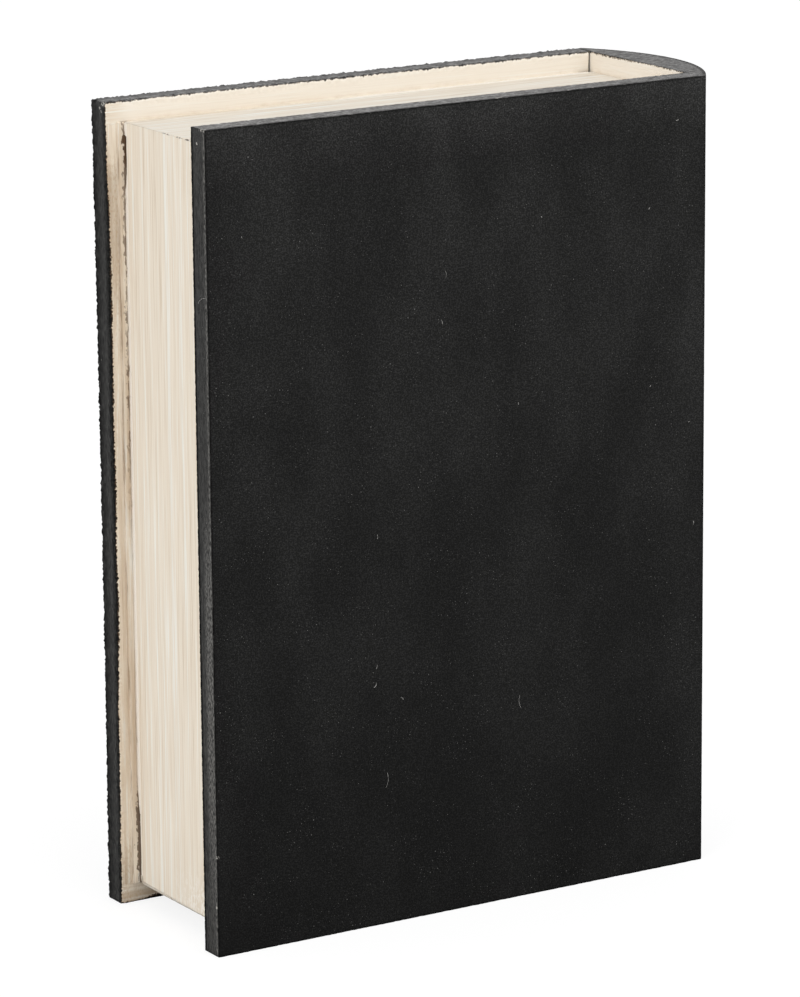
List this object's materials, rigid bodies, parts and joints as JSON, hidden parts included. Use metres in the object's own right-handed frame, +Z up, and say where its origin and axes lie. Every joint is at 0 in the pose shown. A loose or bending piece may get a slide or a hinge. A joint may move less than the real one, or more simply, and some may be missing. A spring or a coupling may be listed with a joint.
{
  "type": "book box",
  "caption": "Storage box shaped like a large hardback book, with a black cloth cover, a rounded spine, a cream page block and a far cover that opens as the lid.",
  "frame": {"origin": "on the surface that the box stands on, under the middle of its bounding box", "axes": "+X from the fore edge to the spine, +Y from the near cover to the lid, +Z up from tail to head"},
  "size_m": [0.225, 0.0826, 0.3],
  "materials": {
    "board": "raw fibreboard",
    "black_cloth": "black bookcloth",
    "painted_board": "cream paint brushed like page edges",
    "felt": "grey felt",
    "lining_paper": "plain paper"
  },
  "bodies": {
    "box": {"base_board": "board", "base_cloth": "black_cloth", "spine_block": "board", "spine_cloth": "black_cloth", "head_wall": "painted_board", "tail_wall": "painted_board", "fore_edge_wall": "painted_board", "spine_wall": "painted_board", "floor_felt": "felt", "wall_paper": "lining_paper"},
    "lid": {"lid_board": "board", "lid_cloth": "black_cloth", "lid_panel": "painted_board"}
  },
  "joints": [
    {"name": "lid_hinge", "type": "hinge", "parent": "box", "child": "lid", "pos_m": [0.09625, 0.04075, 0.15], "axis": [0, 0, -1], "range_deg": [0, 180]}
  ]
}
